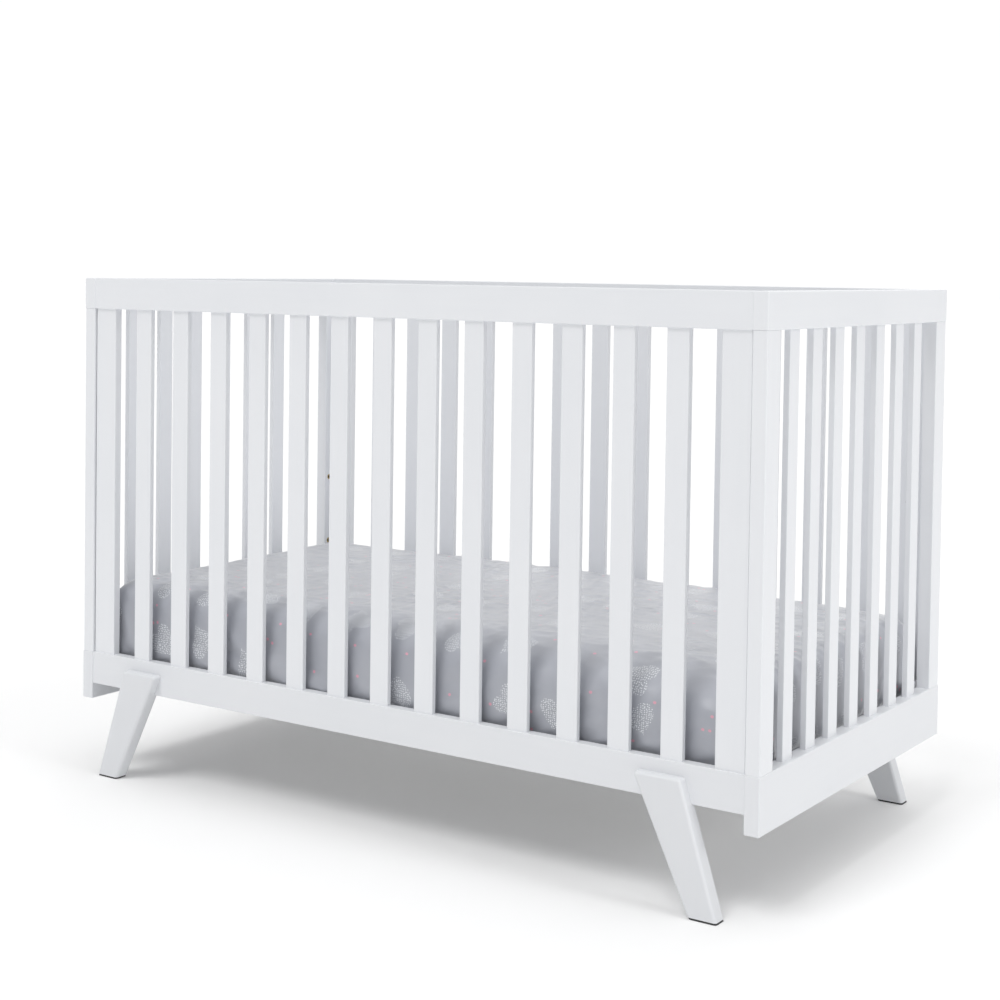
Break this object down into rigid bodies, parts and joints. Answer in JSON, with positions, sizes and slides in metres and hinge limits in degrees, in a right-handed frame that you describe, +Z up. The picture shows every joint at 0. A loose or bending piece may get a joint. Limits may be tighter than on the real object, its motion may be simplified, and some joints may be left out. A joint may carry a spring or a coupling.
{
  "type": "baby crib",
  "caption": "Slatted nursery crib with fixed sides, splayed tapered legs, height-adjustable steel mattress support and a sheeted mattress.",
  "frame": {"origin": "on the floor, under the middle of the crib", "axes": "+Z up; the long front side faces -Y; +X to the right along the length"},
  "size_m": [1.384, 0.778, 0.928],
  "materials": {
    "white_wood": "satin white paint",
    "black_plastic": "matte",
    "frame_steel": "powder coated",
    "zinc_steel": "zinc plated",
    "insert_brass": "plain",
    "sheet_cotton": "sateen cotton",
    "mattress_cover": "woven ticking"
  },
  "bodies": {
    "crib": {"back_bottom_rail": "white_wood", "back_left_leg": "white_wood", "back_left_stile": "white_wood", "back_right_leg": "white_wood", "back_right_stile": "white_wood", "back_slat_01": "white_wood", "back_slat_02": "white_wood", "back_slat_03": "white_wood", "back_slat_04": "white_wood", "back_slat_05": "white_wood", "back_slat_06": "white_wood", "back_slat_07": "white_wood", "back_slat_08": "white_wood", "back_slat_09": "white_wood", "back_slat_10": "white_wood", "back_slat_11": "white_wood", "back_slat_12": "white_wood", "back_slat_13": "white_wood", "back_top_rail": "white_wood", "barrel_nuts": "zinc_steel", "foot_glides": "black_plastic", "front_bottom_rail": "white_wood", "front_left_leg": "white_wood", "front_left_stile": "white_wood", "front_right_leg": "white_wood", "front_right_stile": "white_wood", "front_slat_01": "white_wood", "front_slat_02": "white_wood", "front_slat_03": "white_wood", "front_slat_04": "white_wood", "front_slat_05": "white_wood", "front_slat_06": "white_wood", "front_slat_07": "white_wood", "front_slat_08": "white_wood", "front_slat_09": "white_wood", "front_slat_10": "white_wood", "front_slat_11": "white_wood", "front_slat_12": "white_wood", "front_slat_13": "white_wood", "front_top_rail": "white_wood", "height_inserts": "insert_brass", "left_back_post": "white_wood", "left_bottom_rail": "white_wood", "left_end_slats": "white_wood", "left_front_post": "white_wood", "left_top_rail": "white_wood", "leg_bolts": "zinc_steel", "panel_studs": "zinc_steel", "right_back_post": "white_wood", "right_bottom_rail": "white_wood", "right_end_slats": "white_wood", "right_front_post": "white_wood", "right_top_rail": "white_wood", "support_bolts": "zinc_steel"},
    "mattress_support": {"support_frame": "frame_steel", "support_wires": "frame_steel", "support_hangers": "frame_steel"},
    "mattress": {"mattress": "sheet_cotton"}
  },
  "joints": [
    {"name": "support_height", "type": "slide", "parent": "crib", "child": "mattress_support", "axis": [0, 0, 1], "range_m": [0, 0.28]},
    {"name": "mattress_lift", "type": "slide", "parent": "mattress_support", "child": "mattress", "axis": [0, 0, 1], "range_m": [0, 0.75]}
  ]
}
